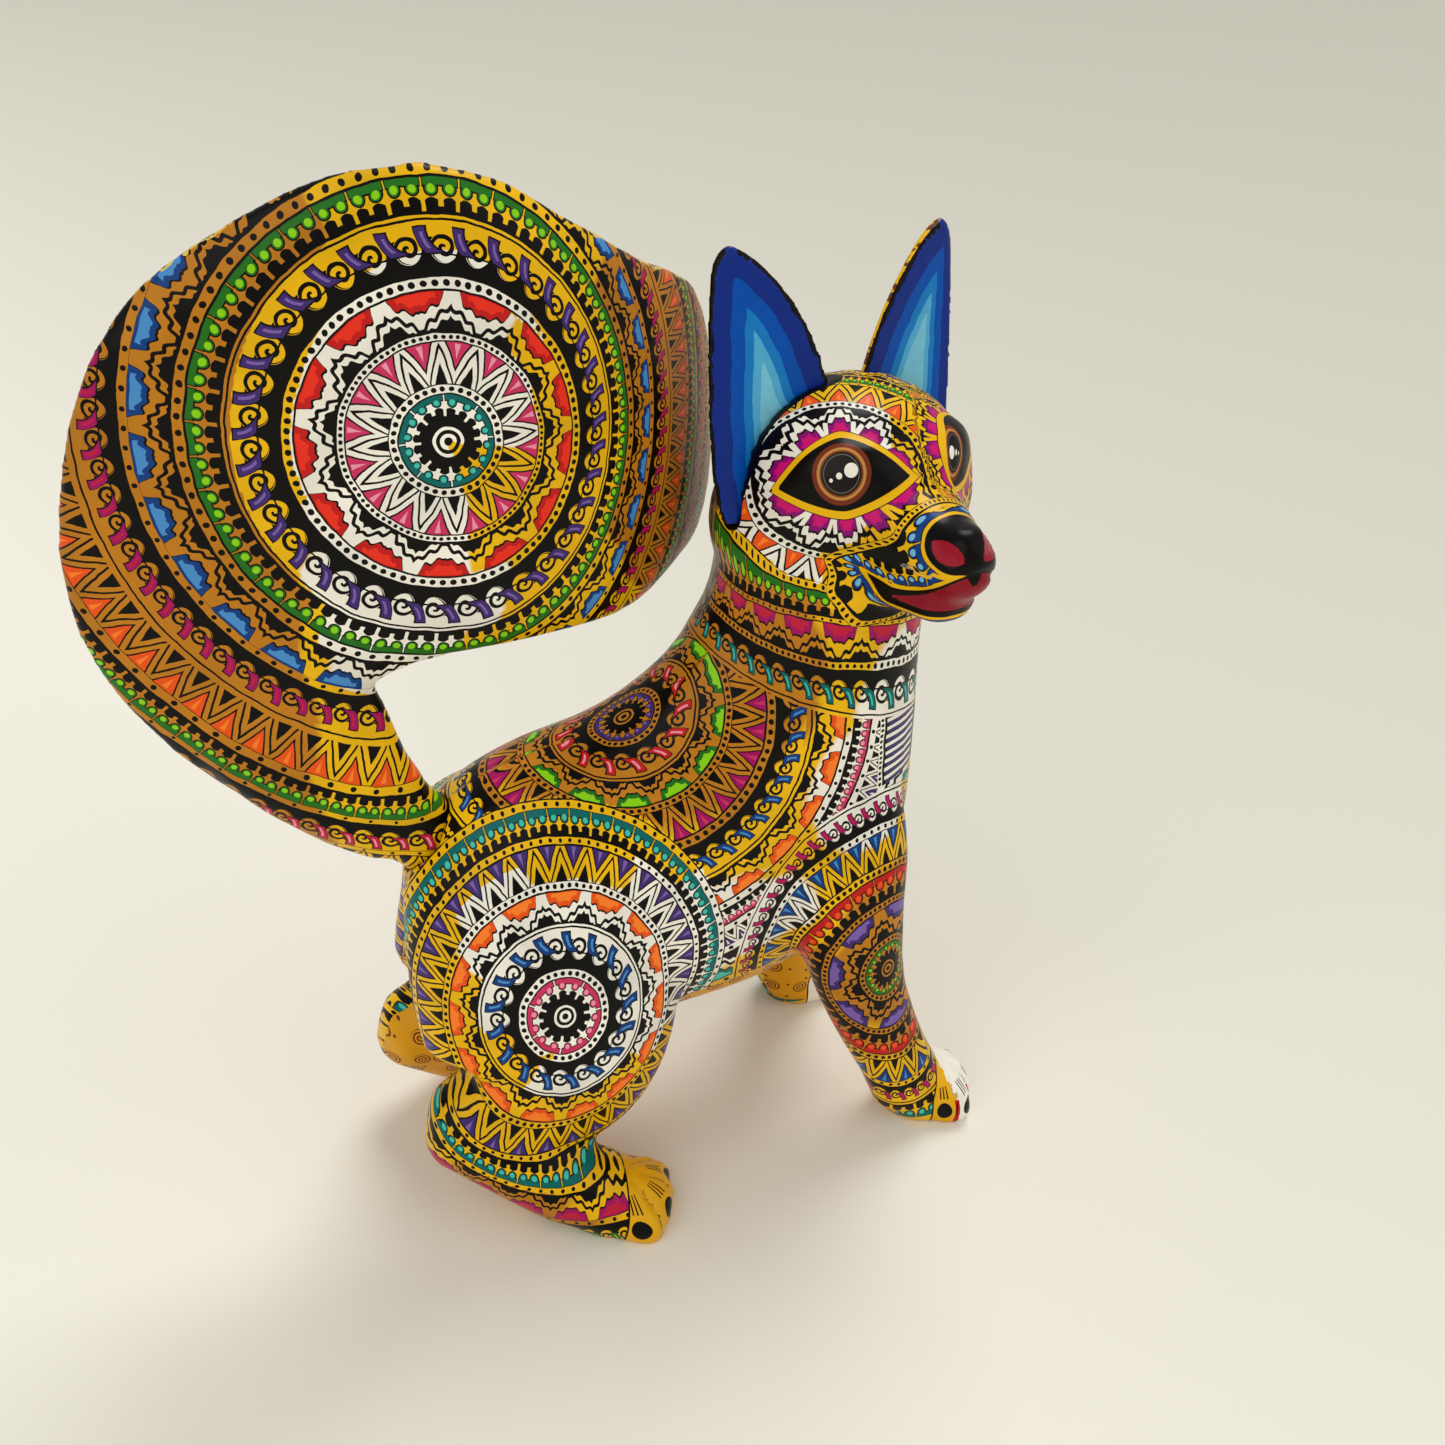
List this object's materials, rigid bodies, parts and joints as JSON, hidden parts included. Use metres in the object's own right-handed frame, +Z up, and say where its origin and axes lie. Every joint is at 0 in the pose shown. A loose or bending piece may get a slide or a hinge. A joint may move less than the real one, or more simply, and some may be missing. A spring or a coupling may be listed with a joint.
{
  "type": "wooden alebrije dog",
  "caption": "Seated carved wooden dog with its head turned aside, pointed ears let into the head and a broad tail curled over its back, painted all over.",
  "frame": {"origin": "under the middle of the figure's extent, on the plane of its soles", "axes": "+X the way the body points, +Y the dog's left, +Z up"},
  "size_m": [0.2238, 0.1072, 0.2758],
  "materials": {
    "painted_body": "gloss varnish over paint",
    "painted_tail": "gloss varnish over paint",
    "painted_ears": "gloss varnish over paint"
  },
  "bodies": {
    "root": {"body": "painted_body", "tail": "painted_tail", "ear_right": "painted_ears", "ear_left": "painted_ears"}
  },
  "joints": []
}
